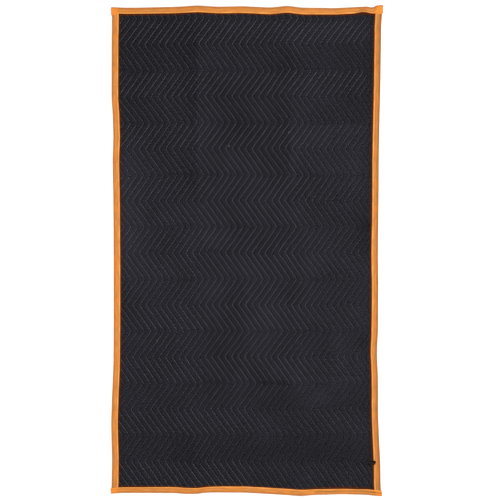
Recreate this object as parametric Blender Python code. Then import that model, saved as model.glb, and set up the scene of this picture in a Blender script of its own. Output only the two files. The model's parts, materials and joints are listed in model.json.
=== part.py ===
"""Quilted moving pad, lying flat: a panel stitched in chevron lines, with folded tape over its edges.

Metres, +Z up. X runs across the pad and Y along it, from foot to head. Z = 0 is the floor under it.

Every piece is first made on the flat pattern, with u across, v along and w up from the pad's middle plane.
The function lay() then puts each point where it lies: inside the uneven outline, and over the soft folds.
"""

import math

import bmesh
import bpy
from mathutils import Vector

MM = 0.001

# The finished pad on the flat pattern, over its binding
WIDTH = 1016 * MM
LENGTH = 1829 * MM

# Quilting: lines that zigzag along the pad, one needle space apart
NEEDLE_SPACE = 25.4 * MM
HALF_WAVE = 98 * MM
SWING = 69 * MM
LEFT_TURN_AT = (-1 * MM, -11 * MM)

# Heights from the middle plane: half of each thickness
HALF_PUFF = 3.2 * MM
HALF_STITCHED = 1.5 * MM
HALF_MARGIN = 1.7 * MM
GROOVE_REACH = 5 * MM

# Binding tape, folded over the edge
TAPE = 1 * MM
NOSE_DEPTH = 2.6 * MM
NOSE_WALL = 1.6 * MM
NOSE_STEPS = 6
BEVEL = 0.5 * MM
LIP_ROUND = 1.5 * MM
SEAM_TO_LIP = 5 * MM
SEAM_DIP = 0.35 * MM
SIDE_FLAP = 25 * MM
HEAD_FLAP = 25 * MM
FOOT_FLAP = 22 * MM
GAP = 0.4 * MM
SEAM_SETBACK = 2 * MM
END_PROUD = 2.5 * MM
STEP_RUN = 8 * MM
STEP_TOP = WIDTH / 2 - SIDE_FLAP - MM

# At a corner two tapes lie on each other, which lifts the middle plane there. The tape on top steps
# up over the other's lip at STEP_TOP.
CORNER_LIFT = TAPE + GAP
CORNER_RUN = 50 * MM

CUT_TOLERANCE = 0.001 * MM
STATION_SPACE = 2 * MM

# The outline as it lies. Each row is (place along the edge, how far the edge stands out from
# the plain rectangle), in millimetres; a minus sign is an edge that is drawn in.
PLAIN_HALF_WIDTH = 500 * MM
PLAIN_HALF_LENGTH = 915 * MM
LEFT_EDGE = (
    (-915, 8.5),
    (-790, 6.5),
    (-650, 10.0),
    (-560, 7.0),
    (-430, 1.5),
    (-290, 0.5),
    (-60, 0.5),
    (160, 1.5),
    (340, 4.5),
    (430, 1.5),
    (520, 4.5),
    (570, 8.5),
    (790, 8.0),
    (880, 6.5),
    (915, 8.0),
)
RIGHT_EDGE = (
    (-915, 5.0),
    (-880, 1.0),
    (-790, 0.0),
    (-700, -4.5),
    (-610, -8.0),
    (-470, -8.5),
    (-382, -12.5),
    (-292, -8.0),
    (-110, -7.0),
    (-20, -8.5),
    (205, -6.0),
    (340, -5.5),
    (476, -3.0),
    (610, 0.5),
    (840, 3.5),
    (915, 8.5),
)
HEAD_EDGE = (
    (-508, 1.5),
    (-460, -1.0),
    (-390, 0.0),
    (-270, 2.5),
    (-186, 7.0),
    (-110, 3.0),
    (-15, 5.0),
    (90, -0.5),
    (150, 6.0),
    (205, -1.0),
    (330, -2.5),
    (450, 4.0),
    (480, 2.0),
    (508, 6.0),
)
FOOT_EDGE = (
    (-508, -3.0),
    (-475, -6.0),
    (-270, -5.5),
    (-235, -2.0),
    (-186, -2.0),
    (-150, -7.5),
    (-5, -7.0),
    (90, -1.5),
    (209, 5.5),
    (245, 1.5),
    (360, -1.5),
    (450, 1.0),
    (480, 4.0),
    (508, 7.0),
)

# Soft folds from packing, in thirds of the width. Each row is (crest at the head, crest at the foot,
# height at the head, in the middle and at the foot, half width), in millimetres.
LONG_FOLDS = (
    (-186, -190, 5.0, 2.0, 3.0, 55),
    (150, 209, 6.0, 2.0, 6.0, 55),
)
# Soft folds across, where the stitch lines turn. Each row is (row of turns counted from the middle one,
# first u, last u, height), in millimetres.
CROSS_FOLDS = (
    (5, 230, 480, 2.0),
    (0, -190, 130, 1.5),
    (-5, 40, 420, 2.5),
    (-8, 330, 508, 3.0),
)
CROSS_FOLD_TAPER = 60 * MM


def clear_scene():
    for thing in list(bpy.data.objects):
        bpy.data.objects.remove(thing)


def cloth_material(name, colour, roughness):
    material = bpy.data.materials.new(name)
    material.use_nodes = True
    shader = material.node_tree.nodes["Principled BSDF"]
    shader.inputs["Base Color"].default_value = (*colour, 1)
    shader.inputs["Roughness"].default_value = roughness
    shader.inputs["Metallic"].default_value = 0
    return material


def ramp(value, start, end):
    """0 before start, 1 past end, and a straight rise between them."""
    return min(1, max(0, (value - start) / (end - start)))


def edge_out(table, along):
    """How far an edge stands out at a place along it, read straight between the table's rows."""
    place = along / MM
    for (here, out), (after, out_after) in zip(table, table[1:]):
        if place <= after:
            return (out + (out_after - out) * ramp(place, here, after)) * MM
    return table[-1][1] * MM


def seam_inset(flap):
    """How far in from the edge the quilting stops, just inside the tape's lip."""
    return flap + SEAM_SETBACK


SEAM_U = WIDTH / 2 - seam_inset(SIDE_FLAP)
SEAM_HEAD = LENGTH / 2 - seam_inset(HEAD_FLAP)
SEAM_FOOT = LENGTH / 2 - seam_inset(FOOT_FLAP)


def crest_of(fold, v):
    """Where a long fold's crest is, and its height there."""
    at_head, at_foot, head, middle, foot, _ = fold
    share = v / LENGTH + 0.5
    end_height = head if v > 0 else foot
    height = middle + (end_height - middle) * abs(2 * v / LENGTH)
    return (at_foot + (at_head - at_foot) * share) * MM, height * MM


def turn_row(number):
    """v of a row where the stitch lines turn; even rows turn at the left."""
    return LEFT_TURN_AT[1] + number * HALF_WAVE


def lift(u, v):
    """How far the folds and the thick corners hold the middle plane up."""
    rise = 0
    for fold in LONG_FOLDS:
        crest, height = crest_of(fold, v)
        rise += height * (1 - ramp(abs(u - crest), 0, fold[5] * MM))
    for number, first, last, height in CROSS_FOLDS:
        near = 1 - ramp(abs(v - turn_row(number)), 0, HALF_WAVE)
        starts = ramp(u, first * MM, first * MM + CROSS_FOLD_TAPER)
        ends = 1 - ramp(u, last * MM - CROSS_FOLD_TAPER, last * MM)
        stops = ends if last * MM < SEAM_U else 1
        rise += height * MM * near * min(starts, stops)
    seam_v = SEAM_HEAD if v > 0 else SEAM_FOOT
    beside = ramp(abs(u), SEAM_U - CORNER_RUN, SEAM_U)
    beyond = ramp(abs(v), seam_v - CORNER_RUN, seam_v)
    return rise + CORNER_LIFT * beside * beyond


def lay(point):
    """Moves a point of the flat pattern to where it lies on the floor."""
    u, v, w = point
    left = -PLAIN_HALF_WIDTH - edge_out(LEFT_EDGE, v)
    right = PLAIN_HALF_WIDTH + edge_out(RIGHT_EDGE, v)
    foot = -PLAIN_HALF_LENGTH - edge_out(FOOT_EDGE, u)
    head = PLAIN_HALF_LENGTH + edge_out(HEAD_EDGE, u)
    x = left + (right - left) * (u / WIDTH + 0.5)
    y = foot + (head - foot) * (v / LENGTH + 0.5)
    return Vector((x, y, HALF_PUFF + w + lift(u, v)))


def stations(table, end, *more):
    """Places along an edge, from -end to end: the table's rows and more, in order, none too close."""
    inner = [row[0] * MM for row in table] + list(more)
    inner = sorted(place for place in inner if abs(place) < end - STATION_SPACE)
    kept = [-end]
    for place in inner:
        if place - kept[-1] > STATION_SPACE:
            kept.append(place)
    return kept + [end]


def side_stations(table, end):
    corners = (SEAM_HEAD, SEAM_HEAD - CORNER_RUN, -SEAM_FOOT, CORNER_RUN - SEAM_FOOT)
    crease = turn_row(CROSS_FOLDS[-1][0])
    return stations(table, end, *corners, crease, crease + HALF_WAVE, crease - HALF_WAVE)


def end_stations(table, end, at_head):
    places = [SEAM_U - CORNER_RUN, STEP_TOP - STEP_RUN, STEP_TOP]
    places += [-place for place in places]
    for fold in LONG_FOLDS:
        crest = fold[0 if at_head else 1]
        places += [crest * MM, (crest - fold[5]) * MM, (crest + fold[5]) * MM]
    return stations(table, end, *places)


def quilted_face(bm, side):
    """One face of the panel, side 1 above and -1 below: puffed ribs, and a groove at each stitch line."""
    columns = ((0, HALF_STITCHED), (GROOVE_REACH, HALF_PUFF), (NEEDLE_SPACE - GROOVE_REACH, HALF_PUFF))
    lines = math.ceil((WIDTH / 2 + SWING) / NEEDLE_SPACE)
    rows = math.ceil(LENGTH / 2 / HALF_WAVE)
    grid = []
    for number in range(-rows, rows + 1):
        shift = LEFT_TURN_AT[0] + (SWING if number % 2 else 0)
        row = []
        for line in range(-lines, lines + 1):
            for offset, height in columns:
                u = shift + line * NEEDLE_SPACE + offset
                row.append(bm.verts.new((u, turn_row(number), side * height)))
        grid.append(row)
    for row, after in zip(grid, grid[1:]):
        for a, b, c, d in zip(row, row[1:], after[1:], after):
            bm.faces.new((a, b, c, d))


def cut(bm, faces, point, normal, clear=False):
    """Cuts the faces along a line of the pattern, and clears what lies past it."""
    edges = dict.fromkeys(edge for face in faces for edge in face.edges)
    verts = dict.fromkeys(vert for face in faces for vert in face.verts)
    bmesh.ops.bisect_plane(
        bm,
        geom=[*verts, *edges, *faces],
        dist=CUT_TOLERANCE,
        plane_co=point,
        plane_no=normal,
        clear_outer=clear,
    )


def trim_to_seam(bm):
    """Ends the quilting of both faces at the seam inside the binding."""
    sides = (
        ((SEAM_U, 0, 0), (1, 0, 0)),
        ((-SEAM_U, 0, 0), (-1, 0, 0)),
        ((0, SEAM_HEAD, 0), (0, 1, 0)),
        ((0, -SEAM_FOOT, 0), (0, -1, 0)),
    )
    for point, normal in sides:
        cut(bm, bm.faces[:], point, normal, clear=True)


def crest_lines(bm):
    """Gives each long fold a line of points along its crest: all along above, and at its ends below."""
    for fold in LONG_FOLDS:
        at_head, at_foot = fold[0] * MM, fold[1] * MM
        faces = [
            face
            for face in bm.faces
            if face.verts[0].co.z > 0 or abs(face.calc_center_median().y) > LENGTH / 2 - HALF_WAVE
        ]
        cut(bm, faces, (at_head, LENGTH / 2, 0), (LENGTH, at_foot - at_head, 0))


def margin_outline():
    """The panel's own edge inside the binding, counter-clockwise from the foot's left corner."""
    inset = NOSE_WALL + GAP
    side, end = WIDTH / 2 - inset, LENGTH / 2 - inset
    foot = [(u, -end) for u in end_stations(FOOT_EDGE, side, False)]
    right = [(side, v) for v in side_stations(RIGHT_EDGE, end)]
    head = [(u, end) for u in reversed(end_stations(HEAD_EDGE, side, True))]
    left = [(-side, v) for v in reversed(side_stations(LEFT_EDGE, end))]
    return foot[:-1] + right[:-1] + head[:-1] + left[:-1]


def add_margin(bm, side):
    """Presses a face flat at the seam, and fills the flat margin that the binding holds."""
    seam = [edge for edge in bm.edges if edge.is_boundary and edge.verts[0].co.z * side > 0]
    for edge in seam:
        for vert in edge.verts:
            vert.co.z = side * HALF_MARGIN
    rim = [bm.verts.new((u, v, side * HALF_MARGIN)) for u, v in margin_outline()]
    outer = [bm.edges.new((a, b)) for a, b in zip(rim, rim[1:] + rim[:1])]
    bmesh.ops.triangle_fill(bm, edges=seam + outer, use_beauty=True, normal=(0, 0, side))
    return rim


def make_panel(material):
    """The quilted panel: two quilted faces, their margins, and a low wall round the edge."""
    bm = bmesh.new()
    quilted_face(bm, 1)
    quilted_face(bm, -1)
    trim_to_seam(bm)
    crest_lines(bm)
    upper = add_margin(bm, 1)
    lower = add_margin(bm, -1)
    for a, b, c, d in zip(upper, upper[1:] + upper[:1], lower[1:] + lower[:1], lower):
        bm.faces.new((a, b, c, d))
    for vert in bm.verts:
        vert.co = lay(vert.co)
    finish_object("quilted_pad", bm, material)


def finish_object(name, bm, material):
    bmesh.ops.recalc_face_normals(bm, faces=bm.faces)
    mesh = bpy.data.meshes.new(name)
    bm.to_mesh(mesh)
    bm.free()
    mesh.materials.append(material)
    piece = bpy.data.objects.new(name, mesh)
    bpy.context.scene.collection.objects.link(piece)


def outer_profile(flap, half):
    """Half of the tape's section from lip to lip, as (distance in from the nose, height)."""
    nose = []
    for step in range(NOSE_STEPS + 1):
        turn = math.pi * (step / NOSE_STEPS - 0.5)
        nose.append((NOSE_DEPTH * (1 - math.cos(turn)), half * math.sin(turn)))
    seam = flap - SEAM_TO_LIP
    upper = [(seam, half - SEAM_DIP), (flap - LIP_ROUND, half), (flap, half - BEVEL)]
    lower = [(inward, -height) for inward, height in reversed(upper)]
    return lower + nose + upper


def inner_profile(flap, half):
    """The rest of the section: the space inside the fold, which holds the panel's margin."""
    room = half - TAPE
    upper = [(NOSE_WALL, room - BEVEL), (NOSE_WALL + BEVEL, room), (flap, room)]
    lower = [(inward, -height) for inward, height in reversed(upper)]
    return lower + upper


def skin(bm, row, after):
    for a, b, c, d in zip(row, row[1:], after[1:], after):
        bm.faces.new((a, b, c, d))


def fold_tape(name, flap, places, first, last, put, half_at, material):
    """One strip of tape. Its fold is open from the place number first to last, and solid past them."""
    bm = bmesh.new()

    def ring(profile, along):
        points = profile(flap, half_at(along))
        return [bm.verts.new(lay(put(along, inward, height))) for inward, height in points]

    outer = [ring(outer_profile, along) for along in places]
    inner = {number: ring(inner_profile, places[number]) for number in range(first, last + 1)}
    for number, (row, after) in enumerate(zip(outer, outer[1:])):
        skin(bm, row, after)
        if first <= number < last:
            skin(bm, inner[number], inner[number + 1])
            skin(bm, (row[0], inner[number][0]), (after[0], inner[number + 1][0]))
            skin(bm, (row[-1], inner[number][-1]), (after[-1], inner[number + 1][-1]))
        else:
            lip = [row[-1], row[0], after[0], after[-1]]
            if number + 1 == first:
                lip[3:3] = [inner[first][0], inner[first][-1]]
            if number == last:
                lip[1:1] = [inner[last][-1], inner[last][0]]
            bm.faces.new(lip)
    for end, open_end in ((0, first), (-1, last)):
        if places[end] == places[open_end]:
            bm.faces.new(outer[end] + inner[open_end][::-1])
        else:
            bm.faces.new(outer[end])
            bm.faces.new(inner[open_end])
    finish_object(name, bm, material)


def bind_side(name, table, sign, material):
    """A long strip. Its ends are open, and lie inside the head's and the foot's tape."""
    end = LENGTH / 2 - NOSE_WALL - GAP
    places = side_stations(table, end)

    def put(along, inward, height):
        return Vector((sign * (WIDTH / 2 - inward), along, height))

    def half_at(along):
        return HALF_PUFF

    fold_tape(name, SIDE_FLAP, places, 0, len(places) - 1, put, half_at, material)


def bind_end(name, table, sign, flap, material):
    """A short strip. It laps over both long strips, and its own ends are closed."""
    end = WIDTH / 2 + END_PROUD
    open_places = end_stations(table, WIDTH / 2 + GAP, sign > 0)
    places = [-end, BEVEL - end, *open_places, end - BEVEL, end]

    def put(along, inward, height):
        return Vector((along, sign * (LENGTH / 2 - inward), height))

    def half_at(along):
        thicker = CORNER_LIFT * ramp(abs(along), STEP_TOP - STEP_RUN, STEP_TOP)
        return HALF_PUFF + thicker - BEVEL * ramp(abs(along), end - BEVEL, end)

    fold_tape(name, flap, places, 2, len(places) - 3, put, half_at, material)


clear_scene()
cover_cloth = cloth_material("black cover cloth", (0.019, 0.019, 0.023), 0.9)
binding_tape = cloth_material("orange binding tape", (0.85, 0.26, 0.035), 0.8)
make_panel(cover_cloth)
bind_side("binding_left", LEFT_EDGE, -1, binding_tape)
bind_side("binding_right", RIGHT_EDGE, 1, binding_tape)
bind_end("binding_head", HEAD_EDGE, 1, HEAD_FLAP, binding_tape)
bind_end("binding_foot", FOOT_EDGE, -1, FOOT_FLAP, binding_tape)
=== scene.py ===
"""The looks of a quilted moving pad, spread flat and seen from straight above.

Metres, +Z up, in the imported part's own frame: X runs across the pad, and Y along it from foot to head.
"""

import json
import math

import bmesh
import bpy
import numpy as np
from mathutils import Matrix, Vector
from mathutils.bvhtree import BVHTree

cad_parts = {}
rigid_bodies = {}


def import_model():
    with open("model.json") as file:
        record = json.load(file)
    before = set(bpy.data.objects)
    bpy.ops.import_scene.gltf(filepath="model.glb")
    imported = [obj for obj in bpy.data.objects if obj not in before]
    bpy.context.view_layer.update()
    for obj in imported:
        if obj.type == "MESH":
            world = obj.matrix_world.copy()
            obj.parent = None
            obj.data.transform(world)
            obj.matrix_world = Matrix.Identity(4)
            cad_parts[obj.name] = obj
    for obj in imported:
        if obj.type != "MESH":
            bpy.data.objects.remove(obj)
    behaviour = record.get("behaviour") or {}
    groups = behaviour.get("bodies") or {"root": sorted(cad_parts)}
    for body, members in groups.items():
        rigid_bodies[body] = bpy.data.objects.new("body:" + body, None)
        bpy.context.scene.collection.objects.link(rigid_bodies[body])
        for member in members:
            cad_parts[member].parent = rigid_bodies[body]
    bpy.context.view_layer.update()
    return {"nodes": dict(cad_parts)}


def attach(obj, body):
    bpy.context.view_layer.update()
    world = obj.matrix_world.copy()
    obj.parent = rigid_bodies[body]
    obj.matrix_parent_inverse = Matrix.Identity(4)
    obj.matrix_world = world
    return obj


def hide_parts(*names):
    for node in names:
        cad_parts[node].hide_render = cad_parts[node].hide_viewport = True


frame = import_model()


# Camera. It hangs far above the pad and looks straight down, with the head of the pad at the top of
# the frame. The long lens keeps the two ends equally wide.
MM = 0.001
PHOTO_PX = 500
PHOTO_MM_PER_PX = 3.763
PAD_MIDDLE_PX = (247.1, 251)
CAMERA_HEIGHT = 7.5
SENSOR_MM = 36

camera_data = bpy.data.cameras.new("camera")
camera_data.sensor_width = SENSOR_MM
camera_data.lens = SENSOR_MM * CAMERA_HEIGHT / (PHOTO_PX * PHOTO_MM_PER_PX * MM)
camera_data.clip_end = 100
camera = bpy.data.objects.new("camera", camera_data)
camera.location = (
    (PHOTO_PX / 2 - PAD_MIDDLE_PX[0]) * PHOTO_MM_PER_PX * MM,
    (PAD_MIDDLE_PX[1] - PHOTO_PX / 2) * PHOTO_MM_PER_PX * MM,
    CAMERA_HEIGHT,
)
scene_objects = bpy.context.scene.collection.objects
scene_objects.link(camera)
bpy.context.scene.camera = camera
bpy.context.scene.view_settings.view_transform = "Standard"


# Studio. A wide white sweep of matt paper under a weak white dome and a large soft overhead light. A
# smaller one, low on the right, rakes the creases and makes the threads that cross its light shine.
SWEEP_SIZE = 60
SWEEP_DROP = 0.9 * MM
DOME_STRENGTH = 0.5
TOP_PLACE, TOP_SIZE, TOP_POWER = (0.15, 0, 3.6), 1.4, 122
RAKE_PLACE, RAKE_SIZE, RAKE_POWER = (1.9, 0, 0.7), 0.6, 22
PAPER_GRAIN = 25 * MM
COLOURS = {"data_type": "RGBA"}


def linear(hex_colour):
    """A colour given as sRGB hex digits, as the linear one that Blender mixes, and opaque."""
    shares = [int(hex_colour[place : place + 2], 16) / 255 for place in (0, 2, 4)]
    return (*(c / 12.92 if c <= 0.04045 else ((c + 0.055) / 1.055) ** 2.4 for c in shares), 1)


def add_node(tree, kind, settings=(), **inputs):
    """Adds a node. Its inputs are values, or sockets to link. An underscore in a name is a space."""
    node = tree.nodes.new(kind)
    for name, value in dict(settings).items():
        setattr(node, name, value)
    for name, value in inputs.items():
        key = int(name[1:]) if name[1:].isdigit() else name.replace("_", " ")
        if isinstance(value, bpy.types.Node):
            value = value.outputs[0]
        if isinstance(value, bpy.types.NodeSocket):
            tree.links.new(value, node.inputs[key])
        else:
            node.inputs[key].default_value = value
    return node


def new_material(name, **finish):
    """A material, its node tree and its Principled shader, which takes the values of its finish."""
    material = bpy.data.materials.new(name)
    material.use_nodes = True
    shader = material.node_tree.nodes["Principled BSDF"]
    for value_name, value in finish.items():
        shader.inputs[value_name.replace("_", " ")].default_value = value
    return material, material.node_tree, shader


def flecked_material(name, space, dark, light):
    """A rough and matt material, with soft flecks of two tones about so far apart."""
    material, tree, shader = new_material(name, Roughness=0.95, Specular_IOR_Level=0.1)
    place = add_node(tree, "ShaderNodeTexCoord").outputs["Object"]
    flecks = add_node(tree, "ShaderNodeTexNoise", Vector=place, Scale=1 / space).outputs["Fac"]
    tone = add_node(tree, "ShaderNodeMix", COLOURS, Factor=flecks, _6=linear(dark), _7=linear(light))
    tree.links.new(tone.outputs[2], shader.inputs["Base Color"])
    return material


def add_softbox(name, place, size, power):
    """A square soft light that faces the middle of the pad."""
    data = bpy.data.lights.new(name, "AREA")
    data.size = size
    data.energy = power
    light = bpy.data.objects.new(name, data)
    light.location = place
    light.rotation_euler = (-Vector(place)).to_track_quat("-Z", "Y").to_euler()
    scene_objects.link(light)


# Backdrop paper: uncoated and matt, so it gives an even white with hardly a grain
paper = flecked_material("backdrop_paper", PAPER_GRAIN, "f6f6f6", "fafafa")

sweep_mesh = bpy.data.meshes.new("paper_sweep")
sweep_bm = bmesh.new()
bmesh.ops.create_grid(sweep_bm, x_segments=1, y_segments=1, size=SWEEP_SIZE / 2)
for corner in sweep_bm.verts:
    corner.co.z = -SWEEP_DROP
sweep_bm.to_mesh(sweep_mesh)
sweep_bm.free()
sweep_mesh.materials.append(paper)
paper_sweep = bpy.data.objects.new("paper_sweep", sweep_mesh)
scene_objects.link(paper_sweep)

world = bpy.data.worlds.new("white_dome")
world.use_nodes = True
world.node_tree.nodes["Background"].inputs["Color"].default_value = (1, 1, 1, 1)
world.node_tree.nodes["Background"].inputs["Strength"].default_value = DOME_STRENGTH
bpy.context.scene.world = world
add_softbox("overhead_softbox", TOP_PLACE, TOP_SIZE, TOP_POWER)
add_softbox("raking_softbox", RAKE_PLACE, RAKE_SIZE, RAKE_POWER)


# Quilted panel. Two black cover cloths with a thin batting between them, sewn through in parallel lines
# that zigzag along the pad. The cloth puffs up between the lines, and is pinched down at each of them.
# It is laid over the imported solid's own outline and folds, and has the photo's creases besides.
WIDTH = 1016 * MM
LENGTH = 1829 * MM
NEEDLE_SPACE = 25.4 * MM
HALF_WAVE = 98 * MM
SWING = 71 * MM
TURN_U = -3 * MM
TURN_V = -11 * MM
TURN_ROUND = 0.05
HALF_PUFF = 3.3 * MM
HALF_STITCHED = 1.35 * MM
HALF_MARGIN = 1.5 * MM
THINNEST = 0.5 * MM
PLUMPNESS, PLUMP_WAVE = 0.07, 60 * MM
GATHER, GATHER_WAVE = 0.75 * MM, 21 * MM
SIDE_FLAP = 25 * MM
HEAD_FLAP = 25 * MM
FOOT_FLAP = 22 * MM
SEAM_SETBACK = 1.5 * MM
RIM_INSET = 5 * MM
PRESSED = 12 * MM
SEAM_U = WIDTH / 2 - SIDE_FLAP - SEAM_SETBACK
SEAM_HEAD = LENGTH / 2 - HEAD_FLAP - SEAM_SETBACK
SEAM_FOOT = LENGTH / 2 - FOOT_FLAP - SEAM_SETBACK

# Creases of the upper face. Each row is u and v of one end, u and v of the other, half width and
# height in millimetres, where a minus sign is a trough, and fade: how many shades lighter the cloth is
# painted on the crease's right hand than on its left, as painted light and shade, going from the first
# end to the other. Each trough is also painted darker along its line, as painted shade.
CREASES = (
    (-187, 110, -186, 900, 7, 1.8, 0.5),
    (161, 225, 160, 560, 5, -1.0, 0.4),
    (170, -250, 166, -65, 6, 1.2, -0.4),
    (-8, -450, -9, -65, 6, 1.0, 0.15),
    (228, 476, 480, 479, 5, -0.6, 0.4),
    (480, 283, 228, 280, 5, -0.6, 0.3),
    (-194, -8, 130, -13, 5, -0.9, 0),
    (182, -470, 470, -471, 4, -1.2, 0.3),
    (-148, -497, -78, -497, 4, -1.0, 0),
    (38, -497, 184, -503, 5, -2.6, 0),
    (244, -503, 318, -503, 4, -0.9, 0),
    (385, -800, 484, -804, 5, -2.0, 0),
)
FADE_REACH = 75 * MM
CREASE_WANDER, CREASE_WAVE = 2 * MM, 120 * MM
CREASE_TAIL = 0.25

# The panel wasn't laid out quite evenly: right of its middle the cloth was dragged towards the head.
# Each row is u and v of a place where it went farther or less far, how far that reaches across and
# along, and by how much, all in millimetres. The binding holds both ends in place.
RIGHT_DRAG = 4.7 * MM
DRAG_FROM = 20 * MM
DRAG_RUN = 120 * MM
DRAG_HELD = 20 * MM
DRAG_FREE = 80 * MM
DRAGGED = (
    (300, -600, 170, 110, 2.8),
    (340, 760, 130, 110, 3.0),
    (440, 290, 90, 200, -4.9),
    (-460, 740, 130, 100, 3.0),
)

# The furrows along the stitch lines are painted darker than the ribs, as painted shade, and more painted
# shade lies just right of each line, on the slope that turns away from the raking light.
FURROW_SHADE = 1.3
SLOPE_SHADE = 1.1
SLOPE_SHADE_PLACE = 5 * MM
SLOPE_SHADE_WIDTH = 2.5 * MM

# Patches of painted light and shade on the upper face. Each row is u and v of the middle, how far the
# patch reaches across and along in millimetres, and how many shades lighter it is painted. Their rims are
# ragged.
RAGGED, RAGGED_WAVE = 9 * MM, 50 * MM
LIGHT_AND_SHADE_PATCHES = (
    (-363, 754, 170, 190, -0.6),
    (164, 711, 30, 40, -0.8),
    (-21, 449, 75, 55, -0.9),
    (-30, 600, 150, 60, -0.4),
    (269, 832, 120, 50, 0.7),
    (350, 434, 120, 45, 0.5),
    (340, 326, 110, 45, 0.3),
    (-457, 150, 52, 200, 2.4),
    (-300, -170, 240, 330, 0.5),
    (425, -850, 100, 45, 0.7),
    (-60, 318, 28, 45, 0.8),
    (173, 275, 22, 50, 0.9),
    (-128, 39, 50, 35, 0.7),
    (-314, 42, 60, 45, -0.6),
    (-352, -72, 75, 40, 0.6),
    (-134, -140, 38, 38, 0.7),
    (90, -278, 62, 75, 1.2),
    (150, -157, 28, 60, -0.7),
    (453, 75, 28, 75, -1.3),
    (430, -55, 60, 30, 0.6),
    (365, -372, 28, 65, 0.9),
    (453, -346, 20, 25, -1.4),
    (280, -558, 55, 38, 1.1),
    (-6, -500, 24, 42, 0.9),
    (141, -759, 360, 42, -0.7),
)


def as_points(mesh):
    points = np.empty(len(mesh.vertices) * 3, np.float32)
    mesh.vertices.foreach_get("co", points)
    return points.reshape(-1, 3).astype(float)


def reach(name, along, sign, places, proud):
    """How far a strip reaches to one side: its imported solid's edge, rounded off, and a little proud."""
    out = 1 - along
    mesh = frame["nodes"]["binding_" + name].data
    ends = np.empty(len(mesh.edges) * 2, np.int32)
    mesh.edges.foreach_get("vertices", ends)
    pairs = as_points(mesh)[ends.reshape(-1, 2)]
    order = pairs[:, 0, along] > pairs[:, 1, along]
    pairs[order] = pairs[order][:, ::-1]
    low, high = pairs[:, 0], pairs[:, 1]
    found = np.full(len(places), np.nan)
    for number, place in enumerate(places):
        met = (low[:, along] <= place) & (high[:, along] > place)
        if met.any():
            share = (place - low[met, along]) / (high[met, along] - low[met, along])
            found[number] = sign * np.max(sign * (low[met, out] + (high - low)[met, out] * share))
    known = ~np.isnan(found)
    return soften(np.interp(places, places[known], found[known]), OUTLINE_SOFT) + sign * proud


def soften(values, steps):
    """Rounds off a line of evenly spaced values over about so many of them."""
    span = int(3 * steps) + 1
    weights = np.exp(-0.5 * (np.arange(-span, span + 1) / steps) ** 2)
    return np.convolve(np.pad(values, span, mode="edge"), weights / weights.sum(), "valid")


def bell(value):
    """1 at 0, falling away softly on both sides."""
    return np.exp(-(value**2))


# The pad's outline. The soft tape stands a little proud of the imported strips.
OUTLINE_STEP = 5 * MM
OUTLINE_SOFT = 2.2
SIDE_PROUD = 1.1 * MM
END_PROUD = 0.6 * MM
side_places = np.arange(-925 * MM, 926 * MM, OUTLINE_STEP)
end_places = np.arange(-520 * MM, 521 * MM, OUTLINE_STEP)
left_edge = reach("left", 1, -1, side_places, SIDE_PROUD)
right_edge = reach("right", 1, 1, side_places, SIDE_PROUD)
head_edge = reach("head", 0, 1, end_places, END_PROUD)
foot_edge = reach("foot", 0, -1, end_places, END_PROUD)

# The right end of the head strip is turned in thick: it stands out past the rest, beside a small notch
CORNER_OUT = 4 * MM
CORNER_FROM = 478 * MM
CORNER_RUN = 8 * MM
NOTCH_DEPTH = 3 * MM
NOTCH_PLACE = 468 * MM
NOTCH_WIDTH = 9 * MM
head_edge -= NOTCH_DEPTH * bell((end_places - NOTCH_PLACE) / NOTCH_WIDTH)
head_edge += CORNER_OUT * np.clip((end_places - CORNER_FROM) / CORNER_RUN, 0, 1)


def ripples(u, v, length, seed, count=7):
    """Gentle random unevenness: a few plane waves of about one length, in all directions."""
    chance = np.random.default_rng(seed)
    total = np.zeros_like(u)
    for _ in range(count):
        turn, phase = chance.uniform(0, 2 * math.pi, 2)
        wave = 2 * math.pi / (length * chance.uniform(0.7, 1.4))
        total += np.sin((u * math.cos(turn) + v * math.sin(turn)) * wave + phase)
    return total / math.sqrt(count)


def between(low, high, share):
    return low + (high - low) * share


def smooth_rise(value):
    """0 below 0, 1 above 1, and an S-shaped rise between them."""
    value = np.clip(value, 0, 1)
    return value * value * (3 - 2 * value)


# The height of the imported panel's middle plane, on a grid: its folds and its thick corners
LIFT_STEP = 15 * MM
lift_x = np.arange(-525 * MM, 526 * MM, LIFT_STEP)
lift_y = np.arange(-930 * MM, 931 * MM, LIFT_STEP)
panel_solid = frame["nodes"]["quilted_pad"].data
panel_tree = BVHTree.FromPolygons(
    [tuple(vert.co) for vert in panel_solid.vertices],
    [tuple(face.vertices) for face in panel_solid.polygons],
)
lift_grid = np.full((len(lift_x), len(lift_y)), np.nan)
for column, x in enumerate(lift_x):
    for row, y in enumerate(lift_y):
        above = panel_tree.ray_cast(Vector((x, y, 1)), Vector((0, 0, -1)))[0]
        below = panel_tree.ray_cast(Vector((x, y, -1)), Vector((0, 0, 1)))[0]
        if above and below:
            lift_grid[column, row] = (above.z + below.z) / 2
for lines in (lift_grid.T, lift_grid):
    for line in lines:
        known = np.flatnonzero(~np.isnan(line))
        if len(known):
            line[:] = np.interp(np.arange(len(line)), known, line[known])

DRAPE, DRAPE_WAVE = 0.5 * MM, 190 * MM


def middle_height(x, y):
    """Height of the pad's middle plane over the floor, smoothly read from the grid, with a loose drape."""
    total = np.zeros_like(x)
    parts = []
    for value, places in ((x, lift_x), (y, lift_y)):
        place = np.clip((value - places[0]) / LIFT_STEP, 1, len(places) - 2)
        cell = np.rint(place).astype(int)
        off = place - cell
        parts.append((cell, (0.5 * (0.5 - off) ** 2, 0.75 - off**2, 0.5 * (0.5 + off) ** 2)))
    (column, across), (row, along) = parts
    for i in (0, 1, 2):
        for j in (0, 1, 2):
            total += lift_grid[column + i - 1, row + j - 1] * across[i] * along[j]
    return total + DRAPE * np.maximum(0, ripples(x, y, DRAPE_WAVE, seed=3))


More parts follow.
